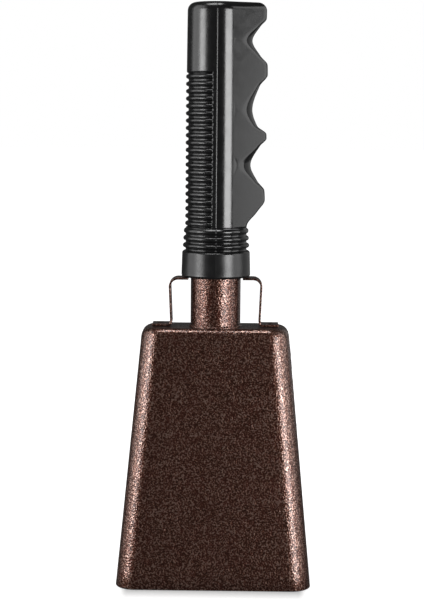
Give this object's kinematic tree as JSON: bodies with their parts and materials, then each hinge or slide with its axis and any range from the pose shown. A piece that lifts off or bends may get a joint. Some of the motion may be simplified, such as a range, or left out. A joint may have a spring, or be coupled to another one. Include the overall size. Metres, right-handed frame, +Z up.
{
  "type": "cowbell",
  "caption": "Tapered sheet-steel cowbell with a flat top, a tube neck between two bent straps, a moulded finger grip and a clapper hanging inside on a link.",
  "frame": {"origin": "centre of the bell's mouth, in the plane of its rim", "axes": "+Z up from the mouth along the grip, +X towards the grip's finger bumps and along the bell's wide side"},
  "size_m": [0.0852, 0.054, 0.2553],
  "materials": {
    "bell_paint": "dark copper-brown hammertone enamel, half gloss",
    "neck_paint": "dark copper-brown hammertone enamel, half gloss",
    "strap_paint": "dark copper-brown enamel, half gloss",
    "black_grip": "glossy black soft vinyl",
    "zinc_wire": "zinc-plated bent wire",
    "bright_ball": "plated steel ball"
  },
  "bodies": {
    "bell": {"front_shell": "bell_paint", "rear_shell": "bell_paint", "neck_tube": "neck_paint", "left_strap": "strap_paint", "right_strap": "strap_paint", "handle_grip": "black_grip", "clapper_staple": "zinc_wire"},
    "link": {"clapper_link": "zinc_wire"},
    "clapper": {"clapper_rod": "zinc_wire", "clapper_ball": "bright_ball"}
  },
  "joints": [
    {"name": "link_swing", "type": "hinge", "parent": "bell", "child": "link", "pos_m": [0, 0, 0.102], "axis": [1, 0, 0], "range_deg": [-10, 10]},
    {"name": "clapper_swing", "type": "hinge", "parent": "link", "child": "clapper", "pos_m": [0, 0, 0.09295], "axis": [0, 1, 0], "range_deg": [-26, 26]}
  ]
}
